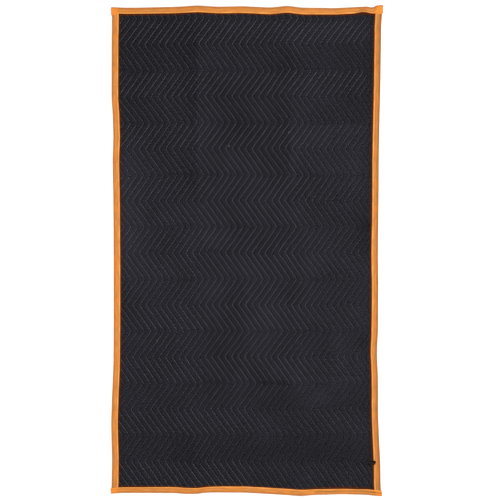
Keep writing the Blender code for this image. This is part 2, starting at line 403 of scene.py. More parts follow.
def drag(u, v):
    """How far the cloth was dragged towards the head at each point of the flat pattern."""
    total = RIGHT_DRAG * smooth_rise((u - DRAG_FROM) / DRAG_RUN)
    for row in DRAGGED:
        middle_u, middle_v, across, along, pull = (value * MM for value in row)
        total += pull * bell((u - middle_u) / across) * bell((v - middle_v) / along)
    return total * smooth_rise((LENGTH / 2 - DRAG_HELD - np.abs(v)) / DRAG_FREE)


def lay(u, v, w):
    """Where points of the flat pattern lie on the floor: u across, v along, w up from the middle plane."""
    s, t = u / WIDTH + 0.5, (v + drag(u, v)) / LENGTH + 0.5
    x, y = u, v
    for _ in range(3):
        x = between(np.interp(y, side_places, left_edge), np.interp(y, side_places, right_edge), s)
        y = between(np.interp(x, end_places, foot_edge), np.interp(x, end_places, head_edge), t)
    return np.column_stack((x, y, middle_height(x, y) + w))


def swing_at(v):
    """How far the stitch lines have swung to the right, at places along the pad."""
    turns = (v - TURN_V) / HALF_WAVE
    share = 1 - np.abs(turns % 2 - 1)
    near = np.minimum(share, 1 - share)
    rounded = np.where(near < TURN_ROUND, (near**2 + TURN_ROUND**2) / (2 * TURN_ROUND), near)
    return SWING * np.where(share < 0.5, rounded, 1 - rounded)


def crease_marks(u, v):
    """What the creases do to the upper face: how high they stand, and how many shades of painted light and
    shade they put on it.
    """
    height, shade = np.zeros_like(u), np.zeros_like(u)
    for row in CREASES:
        ua, va, ub, vb, half_width, top = (value * MM for value in row[:6])
        run = np.array((ub - ua, vb - va))
        length = np.hypot(*run)
        wander = CREASE_WANDER * ripples(u, v, CREASE_WAVE, seed=int(abs(row[0])))
        along = ((u - ua) * run[0] + (v - va) * run[1]) / length
        across = ((u - ua) * run[1] - (v - va) * run[0]) / length + wander
        tail = CREASE_TAIL * length
        runs_out = smooth_rise(along / tail) * smooth_rise((length - along) / tail)
        line = runs_out * np.exp(-np.abs(across / half_width) ** 1.3)
        height += top * line
        # Painted shade along each trough, and painted light on one side of each crease against the other
        shade += min(top / MM, 0) * line
        shade += row[6] * runs_out * np.tanh(across / half_width) * bell(across / FADE_REACH)
    return height, shade


def rib_place(u, v):
    """0 on the crest of a rib between two stitch lines, and 1 on the lines."""
    phase = (u - TURN_U - swing_at(v)) / NEEDLE_SPACE
    return np.abs(phase % 1 - 0.5) * 2


def painted_light_and_shade(u, v):
    """How many shades lighter the upper face is painted at each point: painted light and shade of creases,
    patches and furrows.
    """
    # Painted shade in the furrows, besides the creases' painted light and shade
    shade = crease_marks(u, v)[1] - FURROW_SHADE * rib_place(u, v) ** 6
    # Painted shade on the slope just right of each stitch line
    past_line = (u - TURN_U - swing_at(v)) % NEEDLE_SPACE
    shade -= SLOPE_SHADE * bell((past_line - SLOPE_SHADE_PLACE) / SLOPE_SHADE_WIDTH)
    ragged_u = u + RAGGED * ripples(u, v, RAGGED_WAVE, seed=13)
    ragged_v = v + RAGGED * ripples(u, v, RAGGED_WAVE, seed=14)
    # Painted light and shade of each patch
    for patch in LIGHT_AND_SHADE_PATCHES:
        middle_u, middle_v, across, along = (value * MM for value in patch[:4])
        shade += patch[4] * bell((ragged_u - middle_u) / across) * bell((ragged_v - middle_v) / along)
    return shade


def face_height(u, v, side):
    """Height of a face over the middle plane; side is 1 for the upper face and -1 for the lower."""
    from_rib = rib_place(u, v)
    if side > 0:
        plump = HALF_PUFF * (1 + PLUMPNESS * ripples(u, v, PLUMP_WAVE, seed=11))
        puff = (1 - from_rib**2.4) ** 0.8
        gathers = GATHER * ripples(u, v, GATHER_WAVE, seed=12) * from_rib * (1 - from_rib)
        height = between(HALF_STITCHED, plump, puff) + gathers + crease_marks(u, v)[0]
    else:
        height = between(HALF_STITCHED, HALF_PUFF, (1 - from_rib**5) ** 0.8)
    edge = np.minimum(SEAM_U - np.abs(u), np.minimum(SEAM_HEAD - v, SEAM_FOOT + v))
    return side * between(HALF_MARGIN, np.maximum(height, THINNEST), smooth_rise(edge / PRESSED) ** 0.6)


def quilted_face(bm, side, shares, rows_per_turn, rims):
    """One face: columns of points follow the stitch lines, and end on the seam inside the binding."""
    step = HALF_WAVE / rows_per_turn
    first = math.ceil((max(rims) - SEAM_FOOT - TURN_V) / step + 0.3)
    last = math.floor((SEAM_HEAD - max(rims) - TURN_V) / step - 0.3)
    rows = np.array(
        [rim - SEAM_FOOT for rim in rims]
        + [TURN_V + number * step for number in range(first, last + 1)]
        + [SEAM_HEAD - rim for rim in reversed(rims)]
    )
    lines = math.ceil((WIDTH / 2 + SWING) / NEEDLE_SPACE)
    columns = np.array([line + share for line in range(-lines, lines + 1) for share in shares])
    u = np.clip(TURN_U + swing_at(rows)[:, None] + columns * NEEDLE_SPACE, -SEAM_U, SEAM_U)
    v = np.broadcast_to(rows[:, None], u.shape)
    w = face_height(u, v, side)
    grid = []
    for row_u, row_v, row_w in zip(u, v, w):
        row, last_u = [], None
        for point in zip(row_u, row_v, row_w):
            if last_u is None or point[0] > last_u:
                row.append(bm.verts.new(point))
            else:
                row.append(row[-1])
            last_u = point[0]
        grid.append(row)
    for row, after in zip(grid, grid[1:]):
        for a, b, c, d in zip(row, row[1:], after[1:], after):
            corners = list(dict.fromkeys((a, b, c, d) if side > 0 else (d, c, b, a)))
            if len(corners) > 2:
                bm.faces.new(corners)


def fill_margin(bm, side):
    """The flat margin from the seam out to the panel's own edge, which the binding hides."""
    seam = [edge for edge in bm.edges if edge.is_boundary and edge.verts[0].co.z * side > 0]
    far_u, far_v = WIDTH / 2 - RIM_INSET, LENGTH / 2 - RIM_INSET
    across = np.linspace(-far_u, far_u, 41)
    along = np.linspace(-far_v, far_v, 73)
    loop = [(u, -far_v) for u in across[:-1]] + [(far_u, v) for v in along[:-1]]
    loop += [(u, far_v) for u in across[:0:-1]] + [(-far_u, v) for v in along[:0:-1]]
    rim = [bm.verts.new((u, v, side * HALF_MARGIN)) for u, v in loop]
    outer = [bm.edges.new((a, b)) for a, b in zip(rim, rim[1:] + rim[:1])]
    bmesh.ops.triangle_fill(bm, edges=seam + outer, use_beauty=True, normal=(0, 0, side))
    return rim


def add_piece(name, mesh):
    """Adds a finished mesh as a piece of the pad."""
    piece = bpy.data.objects.new(name, mesh)
    scene_objects.link(piece)
    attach(piece, "root")
    return piece


def finish_piece(name, bm, material, uv=None, marks=()):
    """Makes a piece from a mesh on the flat pattern and lays it on the floor.

    Its UV map is the flat pattern in metres, or a place for each point; marks are named attributes.
    """
    bmesh.ops.recalc_face_normals(bm, faces=bm.faces)
    mesh = bpy.data.meshes.new(name)
    bm.to_mesh(mesh)
    bm.free()
    pattern = as_points(mesh)
    corners = np.empty(len(mesh.loops), np.int32)
    mesh.loops.foreach_get("vertex_index", corners)
    places = pattern[:, :2] if uv is None else np.array(uv)
    mesh.uv_layers.new(name="pattern").data.foreach_set("uv", places[corners].ravel())
    for mark, values in dict(marks).items():
        mesh.attributes.new(mark, "FLOAT", "POINT").data.foreach_set("value", np.array(values, float))
    mesh.vertices.foreach_set("co", lay(*pattern.T).ravel())
    mesh.shade_smooth()
    mesh.materials.append(material)
    return add_piece(name, mesh)


# Black cover cloth: a plain-woven cotton and polyester blend, matt, with a bluish cast, uneven yarns, a
# dusty bloom, and painted light and shade from its creases, furrows and patches. Its yarns are 0.6 mm apart,
# which is too fine to show, so the weave is drawn at 2 mm. Where it goes in under the binding it is painted
# a deep brown: the shadow of the tape's lip, tinted by orange light bounced off the tape.
YARN_SPACE = 2 * MM
SLUB_SPACE, SLUB_SHARE = 5 * MM, 2.8
BLOOM_SPACE, BLOOM_SHARE = 180 * MM, 0.45
ONE_SHADE = 0.14
DARKEST, LIGHTEST = 1.23, 1.93
# Painted shadow of the tape's lip on the cloth: full up to the first distance from the lip, gone past the
# second
FULL_LIP_SHADOW_TO, NO_LIP_SHADOW_FROM = 4.2 * MM, 7.2 * MM
WEAVE_RELIEF, SLUB_RELIEF = 0.15 * MM, 1.4 * MM
MULTIPLY = {"operation": "MULTIPLY"}
MULTIPLY_ADD = {"operation": "MULTIPLY_ADD"}
SUBTRACT = {"operation": "SUBTRACT"}


def threads(tree, place, space):
    """A wave that rises and falls once in each space, as the threads of a woven cloth do."""
    turns = add_node(tree, "ShaderNodeMath", MULTIPLY, _0=place, _1=2 * math.pi / space)
    return add_node(tree, "ShaderNodeMath", {"operation": "SINE"}, _0=turns)


cover_cloth, cloth_tree, cloth_shader = new_material(
    "black_woven_cover_cloth", Roughness=0.9, Specular_IOR_Level=0.12, Sheen_Weight=0.03, Sheen_Roughness=0.4
)
pattern_uv = add_node(cloth_tree, "ShaderNodeUVMap", {"uv_map": "pattern"})
cloth_axes = add_node(cloth_tree, "ShaderNodeSeparateXYZ", Vector=pattern_uv)
across, along = cloth_axes.outputs["X"], cloth_axes.outputs["Y"]
warp = threads(cloth_tree, across, 2 * YARN_SPACE)
weft = threads(cloth_tree, along, 2 * YARN_SPACE)
weave = add_node(cloth_tree, "ShaderNodeMath", MULTIPLY, _0=warp, _1=weft)
slubs = add_node(
    cloth_tree, "ShaderNodeTexNoise", Vector=pattern_uv, Scale=1 / SLUB_SPACE, Detail=1.0, Roughness=0.7
).outputs["Fac"]
bloom = add_node(cloth_tree, "ShaderNodeTexNoise", Vector=pattern_uv, Scale=1 / BLOOM_SPACE, Detail=3.0)
dust = add_node(cloth_tree, "ShaderNodeMath", MULTIPLY, _0=bloom.outputs["Fac"], _1=BLOOM_SHARE)
uneven = add_node(cloth_tree, "ShaderNodeMath", MULTIPLY_ADD, _0=slubs, _1=SLUB_SHARE, _2=dust)
# Painted light and shade of the creases, furrows and patches, counted in shades
painted_shading = add_node(cloth_tree, "ShaderNodeAttribute", {"attribute_name": "painted_shading"}).outputs["Fac"]
painted_and_uneven_tone = add_node(cloth_tree, "ShaderNodeMath", MULTIPLY_ADD, _0=painted_shading, _1=ONE_SHADE, _2=uneven)
lightness = add_node(
    cloth_tree, "ShaderNodeMapRange", Value=painted_and_uneven_tone, From_Min=DARKEST, From_Max=LIGHTEST
)
cloth_tone = add_node(
    cloth_tree, "ShaderNodeMix", COLOURS, Factor=lightness, _6=linear("040404"), _7=linear("24232a")
).outputs[2]
from_middle = add_node(cloth_tree, "ShaderNodeMath", {"operation": "ABSOLUTE"}, _0=across)
to_side = add_node(cloth_tree, "ShaderNodeMath", SUBTRACT, _0=WIDTH / 2 - SIDE_FLAP, _1=from_middle)
to_head = add_node(cloth_tree, "ShaderNodeMath", SUBTRACT, _0=LENGTH / 2 - HEAD_FLAP, _1=along)
to_foot = add_node(cloth_tree, "ShaderNodeMath", {"operation": "ADD"}, _0=LENGTH / 2 - FOOT_FLAP, _1=along)
to_end = add_node(cloth_tree, "ShaderNodeMath", {"operation": "MINIMUM"}, _0=to_head, _1=to_foot)
to_tape = add_node(cloth_tree, "ShaderNodeMath", {"operation": "MINIMUM"}, _0=to_side, _1=to_end)
# Painted shadow: near the tape's lip the cloth turns a deep brown, tinted by orange light bounced off the
# tape
lip_unshaded = add_node(
    cloth_tree,
    "ShaderNodeMapRange",
    {"interpolation_type": "SMOOTHSTEP"},
    Value=to_tape,
    From_Min=FULL_LIP_SHADOW_TO,
    From_Max=NO_LIP_SHADOW_FROM,
)
lip_shadow_tone = add_node(
    cloth_tree, "ShaderNodeMix", COLOURS, Factor=lip_unshaded, _6=linear("3e1600"), _7=cloth_tone
)
cloth_tree.links.new(lip_shadow_tone.outputs[2], cloth_shader.inputs["Base Color"])
bumps = add_node(cloth_tree, "ShaderNodeMath", MULTIPLY, _0=slubs, _1=SLUB_RELIEF)
cloth_relief = add_node(cloth_tree, "ShaderNodeMath", MULTIPLY_ADD, _0=weave, _1=WEAVE_RELIEF, _2=bumps)
cloth_bump = add_node(cloth_tree, "ShaderNodeBump", Strength=0.8, Distance=1.0, Height=cloth_relief)
cloth_tree.links.new(cloth_bump.outputs[0], cloth_shader.inputs["Normal"])

UPPER_SHARES = (0, 0.05, 0.13, 0.24, 0.37, 0.5, 0.63, 0.76, 0.87, 0.95)
LOWER_SHARES = (0, 0.1, 0.3, 0.7, 0.9)
panel_bm = bmesh.new()
quilted_face(panel_bm, 1, UPPER_SHARES, 10, rims=(0, 2.5 * MM, 5.5 * MM, 10 * MM))
quilted_face(panel_bm, -1, LOWER_SHARES, 5, rims=(0, 8 * MM))
upper_rim = fill_margin(panel_bm, 1)
lower_rim = fill_margin(panel_bm, -1)
for a, b, c, d in zip(upper_rim, upper_rim[1:] + upper_rim[:1], lower_rim[1:] + lower_rim[:1], lower_rim):
    panel_bm.faces.new((a, b, c, d))
panel_bm.verts.ensure_lookup_table()
panel_places = np.array([tuple(vert.co) for vert in panel_bm.verts])
# Painted light and shade for each point of the panel
panel_painted_shading = painted_light_and_shade(panel_places[:, 0], panel_places[:, 1])
quilted_panel = finish_piece(
    "quilted_panel", panel_bm, cover_cloth, marks={"painted_shading": panel_painted_shading}
)
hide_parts("quilted_pad")


# Quilting thread. A grey spun polyester lockstitch along every line of the zigzag, on both faces. Each
# stitch is a short thread that comes up through one needle hole and dives into the next. Near the right
# binding the stitches are pulled in tight, and all but sink into the cloth.
STITCH_SPACE = 7 * MM
STITCH_SHARE = 0.84
THREAD_RADIUS = 0.42 * MM
LINE_STEP = 3.5 * MM
TIGHT_FROM = 430 * MM
TIGHT_TO = 475 * MM
TIGHT_DEPTH = 0.5 * MM
SEAM_CLEAR = 3 * MM
THREAD_PROUD = 0.6 * THREAD_RADIUS
DIVE = -1.6
HOLE_PULL = 1.3
LEAST_STITCH, FULLEST_STITCH = (0.88, 0.8, 0.8), (1.04, 1.15, 1.15)

# The thread's painted shine, put into its colour: at the middle of the pad, how much brighter farther up
# towards the head, how much more of that in the rows that slant to the right, and how much painted shade
# darkens it from some place rightwards
SHINE = 0.38
HEAD_SHINE, SLANT_SHINE, SHINE_REACH = 0.1, 0.24, 750 * MM
RIGHT_DULL, DULL_FROM, DULL_FROM_FOOT, DULL_RUN = 0.38, 150 * MM, -80 * MM, 200 * MM
HEAD_ROWS, FOOT_ROWS, SHINE_FADE = 650 * MM, -500 * MM, 100 * MM

# Spun polyester thread: twisted staple fibre, mid grey, with a silky shine where it crosses the light. Its
# colour also carries a painted shine, row by row, and painted shade towards the right binding. It is half a
# millimetre thick, and drawn nearly twice as thick to show. No two stitches have quite the same tone.
TONE_SPREAD = 0.34
quilting_thread, thread_tree, thread_shader = new_material(
    "grey_polyester_thread", Roughness=0.4, IOR=1.6, Specular_IOR_Level=1.0
)
own_tone = add_node(thread_tree, "ShaderNodeAttribute", {"attribute_name": "tone"}).outputs["Fac"]
# Painted shine and painted shade of the thread, put into its colour
shine = add_node(thread_tree, "ShaderNodeAttribute", {"attribute_name": "shine"}).outputs["Fac"]
thread_tone = add_node(thread_tree, "ShaderNodeMath", MULTIPLY_ADD, _0=own_tone, _1=TONE_SPREAD, _2=shine)
thread_colour = add_node(
    thread_tree, "ShaderNodeMix", COLOURS, Factor=thread_tone, _6=linear("1c1b20"), _7=linear("87858f")
)
thread_tree.links.new(thread_colour.outputs[2], thread_shader.inputs["Base Color"])


def stitch_tree():
    """Geometry nodes that set stitches end to end along lines: short arched threads with closed ends."""
    tree = bpy.data.node_groups.new("stitches", "GeometryNodeTree")
    for name, kind in zip(
        ("Geometry", "Spacing", "Stitch Length", "Thread Radius", "Face", "Seed", "Thread"),
        ("Geometry", "Float", "Float", "Float", "Float", "Int", "Material"),
    ):
        tree.interface.new_socket(name, in_out="INPUT", socket_type="NodeSocket" + kind)
    tree.interface.new_socket("Geometry", in_out="OUTPUT", socket_type="NodeSocketGeometry")
    given = tree.nodes.new("NodeGroupInput").outputs

    half = add_node(tree, "ShaderNodeMath", MULTIPLY, _0=given["Stitch Length"], _1=0.5)
    minus_half = add_node(tree, "ShaderNodeMath", MULTIPLY, _0=half, _1=-1.0)
    back_end = add_node(tree, "ShaderNodeCombineXYZ", X=minus_half)
    front_end = add_node(tree, "ShaderNodeCombineXYZ", X=half)
    line = add_node(tree, "GeometryNodeCurvePrimitiveLine", Start=back_end, End=front_end)
    run = add_node(tree, "GeometryNodeResampleCurve", Curve=line, Count=4)
    place = add_node(tree, "ShaderNodeSeparateXYZ", Vector=add_node(tree, "GeometryNodeInputPosition"))
    share = add_node(tree, "ShaderNodeMath", {"operation": "DIVIDE"}, _0=place, _1=half)
    dive = add_node(tree, "ShaderNodeMath", {"operation": "POWER"}, _0=share, _1=4.0)
    deepest = add_node(tree, "ShaderNodeMath", MULTIPLY, _0=given["Thread Radius"], _1=DIVE)
    depth = add_node(tree, "ShaderNodeMath", MULTIPLY, _0=dive, _1=deepest)
    square = add_node(tree, "ShaderNodeMath", MULTIPLY, _0=share, _1=share)
    pull = add_node(tree, "ShaderNodeMath", MULTIPLY_ADD, _0=square, _1=-HOLE_PULL, _2=HOLE_PULL)
    outward = add_node(tree, "ShaderNodeMath", MULTIPLY, _0=place, _1=pull)
    bend = add_node(tree, "ShaderNodeCombineXYZ", X=outward, Z=depth)
    arch = add_node(tree, "GeometryNodeSetPosition", Geometry=run, Offset=bend)
    ring = add_node(tree, "GeometryNodeCurvePrimitiveCircle", Resolution=3, Radius=given["Thread Radius"])
    stitch = add_node(tree, "GeometryNodeCurveToMesh", Curve=arch, Profile_Curve=ring, Fill_Caps=True)

    lines = add_node(tree, "GeometryNodeMeshToCurve", Mesh=given["Geometry"])
    holes = add_node(
        tree, "GeometryNodeResampleCurve", {"mode": "LENGTH"}, Curve=lines, Length=given["Spacing"]
    )
    tangent = add_node(tree, "GeometryNodeInputTangent")
    heading = add_node(tree, "FunctionNodeAlignRotationToVector", {"axis": "X"}, Vector=tangent)
    out = add_node(tree, "ShaderNodeCombineXYZ", Z=given["Face"])
    rolled = {"axis": "Z", "pivot_axis": "X"}
    upright = add_node(tree, "FunctionNodeAlignRotationToVector", rolled, Rotation=heading, Vector=out)
    fuller = add_node(
        tree,
        "FunctionNodeRandomValue",
        {"data_type": "FLOAT_VECTOR"},
        _0=LEAST_STITCH,
        _1=FULLEST_STITCH,
        Seed=given["Seed"],
    )
    sewn = add_node(
        tree, "GeometryNodeInstanceOnPoints", Points=holes, Instance=stitch, Rotation=upright, Scale=fuller
    )
    tone = add_node(
        tree, "FunctionNodeRandomValue", {"data_type": "FLOAT"}, _2=0.0, _3=1.0, Seed=given["Seed"]
    ).outputs[1]
    each = {"data_type": "FLOAT", "domain": "INSTANCE"}
    toned = add_node(tree, "GeometryNodeStoreNamedAttribute", each, Geometry=sewn, Name="tone", Value=tone)
    whole = add_node(tree, "GeometryNodeRealizeInstances", Geometry=toned)
    smooth = add_node(tree, "GeometryNodeSetShadeSmooth", Geometry=whole)
    made = add_node(tree, "GeometryNodeSetMaterial", Geometry=smooth, Material=given["Thread"])
    result = tree.nodes.new("NodeGroupOutput")
    tree.links.new(made.outputs[0], result.inputs["Geometry"])
    return tree


stitches = stitch_tree()


def plain_mesh(name, guide):
    """What a guide object grows into, as one plain mesh in its place."""
    scene_objects.link(guide)
    bpy.context.view_layer.update()
    mesh = bpy.data.meshes.new_from_object(guide.evaluated_get(bpy.context.evaluated_depsgraph_get()))
    mesh.name = name
    bpy.data.objects.remove(guide)
    return mesh


def sew(name, lines, face, spacing, radius, seed, thread):
    """Sews along lines on the cloth, and returns the stitches as one plain mesh.

    A line is rows of x, y, z and shine, the painted highlight that lightens the thread's colour there.
    """
    points, edges = [], []
    for line in lines:
        start = len(points)
        points += [tuple(point) for point in line[:, :3]]
        edges += [(number, number + 1) for number in range(start, len(points) - 1)]
    guide_mesh = bpy.data.meshes.new(name + "_line")
    guide_mesh.from_pydata(points, edges, [])
    shine = guide_mesh.attributes.new("shine", "FLOAT", "POINT")
    shine.data.foreach_set("value", np.concatenate([line[:, 3] for line in lines]))
    guide = bpy.data.objects.new(name + "_line", guide_mesh)
    sewing = guide.modifiers.new("stitches", "NODES")
    sewing.node_group = stitches
    given = {
        "Spacing": spacing,
        "Stitch Length": spacing * STITCH_SHARE,
        "Thread Radius": radius,
        "Face": float(face),
        "Seed": seed,
        "Thread": thread,
    }
    for item in stitches.interface.items_tree:
        if item.in_out == "INPUT" and item.name in given:
            sewing[item.identifier] = given[item.name]
    return add_piece(name, plain_mesh(name, guide))


def thread_shine(u, v):
    """How much painted shine the thread's colour has: lighter in the rows that cross the light, darker at the
    right.
    """
    slant = np.where((v - TURN_V) / HALF_WAVE % 2 < 1, 1, -1)
    below_head = np.where(slant > 0, smooth_rise((HEAD_ROWS - v) / SHINE_FADE), 1)
    dull_from = between(DULL_FROM, DULL_FROM_FOOT, smooth_rise((FOOT_ROWS - v) / SHINE_FADE))
    dull = smooth_rise((u - dull_from) / DULL_RUN) * below_head
    return SHINE + (HEAD_SHINE + SLANT_SHINE * slant) * v / SHINE_REACH - RIGHT_DULL * dull


def quilting_lines(side):
    """Every stitch line of a face, from foot to head, cut off at the seam: rows of x, y, z and shine."""
    v = np.arange(-SEAM_FOOT + SEAM_CLEAR + 1 * MM, SEAM_HEAD - SEAM_CLEAR, LINE_STEP)
    count = math.ceil((WIDTH / 2 + SWING) / NEEDLE_SPACE)
    found = []
    for number in range(-count, count + 1):
        u = TURN_U + swing_at(v) + number * NEEDLE_SPACE
        inside = np.abs(u) < SEAM_U - SEAM_CLEAR
        starts = np.flatnonzero(np.diff(np.concatenate(([0], inside, [0]))))
        for first, last in zip(starts[::2], starts[1::2]):
            if last - first > 2:
                line_u, line_v = u[first:last], v[first:last]
                sunk = TIGHT_DEPTH * smooth_rise((line_u - TIGHT_FROM) / (TIGHT_TO - TIGHT_FROM))
                w = face_height(line_u, line_v, side) + side * (THREAD_PROUD - sunk)
                found.append(np.column_stack((lay(line_u, line_v, w), thread_shine(line_u, line_v))))
    return found


face_lines = {side: quilting_lines(side) for side in (1, -1)}
for name, side, right, seed in (
    ("quilting_upper_left", 1, False, 21),
    ("quilting_upper_right", 1, True, 22),
    ("quilting_lower_left", -1, False, 23),
    ("quilting_lower_right", -1, True, 24),
):
    lines = [line for line in face_lines[side] if (line[:, 0].mean() >= 0) == right]
    sew(name, lines, side, STITCH_SPACE, THREAD_RADIUS, seed, quilting_thread)


# Binding. A woven orange polyester tape, 2 in wide, folded over each edge of the panel and sewn through
# near its lips, which puff up inside the seam. The long strips go on first.
TAPE = 1.1 * MM
HALF_EDGE = 3.2 * MM
NOSE_ROLL = 8.5 * MM
NOSE_WALL = 1.6 * MM
LIP_ROUND = 0.9 * MM
SEAM_TO_LIP = 7.5 * MM
SEAM_DIP, DIP_WIDTH = 0.7 * MM, 1.5 * MM
LIP_PUFF, PUFF_WIDTH, PUFF_TO_LIP = 0.45 * MM, 2.3 * MM, 3.4 * MM
TAPE_GATHER_WAVE, DIP_GATHER, PUFF_GATHER = 17 * MM, 0.12 * MM, 0.35
LOOSE, LOOSE_WAVE, LOOSE_FADE = 0.3 * MM, 55 * MM, 6 * MM
STRIP_STEP = 4 * MM
LAP_FADE = 9 * MM
# Painted shade along the tape's fold: full within the first distance of the fold, fading over the second, and
# the least share farther in
FOLD_SHADE_TO, FOLD_SHADE_FADE, LEAST_FOLD_SHADE = 14 * MM, 10 * MM, 0.36

# Where the tape was guided unevenly: places along the strip, and how much farther its lip reaches in,
# both in millimetres
GUIDED = {
    "left": ((-900, 0.3), (-500, -0.2), (-100, 0.3), (300, -0.2), (900, 0.3)),
    "right": (
        (-900, 0.5), (-450, -0.3), (-280, 1.3), (-200, 0.4), (-60, 1.4), (30, 1.4), (100, 0.3), (900, 0.2),
    ),
    "head": (
        (-460, -2), (-370, -1.5), (-246, -1), (-6, 0.6), (200, 0), (325, -1), (400, -1.3), (432, -5.2),
        (447, -4.3), (458, -2.4), (468, -3.4), (478, -0.9), (486, 7.8),
    ),
    "foot": (
        (-457, -0.5), (-246, 1), (-160, -0.8), (-96, 0.8), (85, 1.5), (205, 1.3), (240, -0.6), (300, -1.5),
        (355, -2), (420, -2), (460, -1),
    ),
}


def tape_top(inward, flap, half, along, seed):
    """Height of the folded tape's upper side: rolled at the nose, pinched at the seam, puffed at the lip."""
    roll = np.clip(inward / NOSE_ROLL, 0, 1)
    body = half * np.sqrt(1 - (1 - roll) ** 2.2)
    seam = flap - SEAM_TO_LIP
    gather = ripples(along, inward * 0.25, TAPE_GATHER_WAVE, seed)
    dip = (SEAM_DIP + DIP_GATHER * gather) * bell((inward - seam) / DIP_WIDTH)
    puff = bell((inward - flap + PUFF_TO_LIP) / PUFF_WIDTH) * (1 + PUFF_GATHER * gather)
    loose = ripples(along, inward, LOOSE_WAVE, seed + 1) * smooth_rise((seam - inward) / LOOSE_FADE)
    return body - dip + LIP_PUFF * puff + LOOSE * loose * roll


def tape_profile(flap, half, along, seed):
    """One whole section, counter-clockwise: lower lip, nose, upper lip, and back round the space inside."""
    nose = NOSE_ROLL * (1 - np.cos(np.linspace(0.12, 1, 7) * math.pi / 2))
    seam = flap - SEAM_TO_LIP
    rest = [12 * MM, seam - 1.7 * MM, seam, seam + 1.7 * MM, flap - 3.6 * MM, flap - 2 * MM, flap - LIP_ROUND]
    inward = np.concatenate((nose, rest))
    places = np.full_like(inward, along)
    upper = tape_top(inward, flap, half, places, seed)
    lower = -np.minimum(tape_top(inward, flap, half, places + 7.3, seed), half)
    top = list(zip(inward, upper)) + [(flap - 0.25 * MM, half - 0.4 * MM), (flap, half - 0.8 * MM)]
    bottom = list(zip(inward, lower)) + [(flap - 0.25 * MM, 0.4 * MM - half), (flap, 0.8 * MM - half)]
    return bottom[::-1] + [(0.0, 0.0)] + top


def pocket_profile(flap, half):
    """The space inside the fold, which holds the panel's margin."""
    room = half - TAPE
    nose = [(NOSE_WALL + 3 * MM, room - 0.2 * MM), (NOSE_WALL + 0.4 * MM, room - 1 * MM)]
    upper = [(flap - 0.4 * MM, room), *nose]
    return upper + [(inward, -height) for inward, height in reversed(upper)]


def skin(bm, row, after):
    for a, b, c, d in zip(row, row[1:], after[1:], after):
        bm.faces.new((a, b, c, d))


def sew_tape(name, strip, first, last, lap_from, tape_shade):
    """One folded strip, open from the place number first to last, and solid past them.

    The strip is how far it reaches in, its places, where its points go, half its thickness, and a seed.
    Its UV map is the tape laid out flat: the place along it, and how far from its fold, with a minus
    sign on the lower side. The attribute lap rises to 1 where the strip lies over another's end, and the
    attribute of painted shade says how much darker the strip is painted, most of all along its fold.
    """
    flap_at, places, put, half_at, seed = strip
    bm = bmesh.new()
    uv, lap, painted_tape_shade = [], [], []

    def add_ring(profile, along):
        ring = []
        for inward, height in profile:
            ring.append(bm.verts.new(put(along, inward, height)))
            uv.append((along, math.copysign(inward, height)))
            lap.append(float(smooth_rise((abs(along) - lap_from) / LAP_FADE)))
            # Painted shade, darkest near the fold
            near_fold = float(smooth_rise((FOLD_SHADE_TO - inward) / FOLD_SHADE_FADE))
            painted_tape_shade.append(tape_shade * between(LEAST_FOLD_SHADE, 1, near_fold))
        return ring

    outer, inner = [], {}
    for number, along in enumerate(places):
        flap, half = flap_at(along), half_at(along)
        outer.append(add_ring(tape_profile(flap, half, along, seed), along))
        if first <= number <= last:
            inner[number] = add_ring(pocket_profile(flap, half), along)
    for number, (row, after) in enumerate(zip(outer, outer[1:])):
        skin(bm, row, after)
        if first <= number < last:
            skin(bm, inner[number], inner[number + 1])
            skin(bm, (row[-1], inner[number][0]), (after[-1], inner[number + 1][0]))
            skin(bm, (inner[number][-1], row[0]), (inner[number + 1][-1], after[0]))
        else:
            lip = [row[-1], row[0], after[0], after[-1]]
            if number + 1 == first:
                lip[3:3] = [inner[first][-1], inner[first][0]]
            if number == last:
                lip[1:1] = [inner[last][0], inner[last][-1]]
            bm.faces.new(lip)
    for end, open_end in ((0, first), (-1, last)):
        if places[end] == places[open_end]:
            bm.faces.new(outer[end] + inner[open_end])
        else:
            bm.faces.new(outer[end])
            bm.faces.new(inner[open_end])
    tape = finish_piece(name, bm, binding_tape, uv, marks={"lap": lap, "painted_tape_shade": painted_tape_shade})
    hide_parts(name.replace("tape", "binding"))
    return tape


# Orange binding tape: spun polyester, woven flat with fine lengthwise ribs, and dull. It has faded
# unevenly. Bands of painted light and shade run along it: painted shade where it rolls over the fold, in
# the seam's dip and at the lip's edge, and a painted highlight on the puffed lip. Painted shade darkens it
# along the fold, most of all on the right strip, and the turned-in ends at the corners carry a painted
# highlight. Its ribs are 0.8 mm apart and its picks 1 mm, drawn at 1.6 mm and 2 mm to show.
RIB_SPACE, RIB_RELIEF = 1.6 * MM, 0.12 * MM
PICK_SPACE, PICK_RELIEF = 2 * MM, 0.06 * MM
STREAK_SPACE, STREAK_STRETCH = 45 * MM, 7.0
PATCH_SPACE, PATCH_WANDER = 30 * MM, 6 * MM
BANDS_REACH = 26 * MM
LAP_HIGHLIGHT_SHARE = 0.85
binding_tape, tape_tree, tape_shader = new_material(
    "orange_woven_binding_tape", Roughness=0.8, Specular_IOR_Level=0.2
)
tape_uv = add_node(tape_tree, "ShaderNodeUVMap", {"uv_map": "pattern"})
tape_axes = add_node(tape_tree, "ShaderNodeSeparateXYZ", Vector=tape_uv).outputs
from_fold = add_node(tape_tree, "ShaderNodeMath", {"operation": "ABSOLUTE"}, _0=tape_axes["Y"])
stretched = add_node(tape_tree, "ShaderNodeMath", MULTIPLY, _0=tape_axes["Y"], _1=STREAK_STRETCH)
streak_place = add_node(tape_tree, "ShaderNodeCombineXYZ", X=tape_axes["X"], Y=stretched)
streaks = add_node(
    tape_tree, "ShaderNodeTexNoise", Vector=streak_place, Scale=1 / STREAK_SPACE, Detail=3.0, Roughness=0.6
).outputs["Fac"]
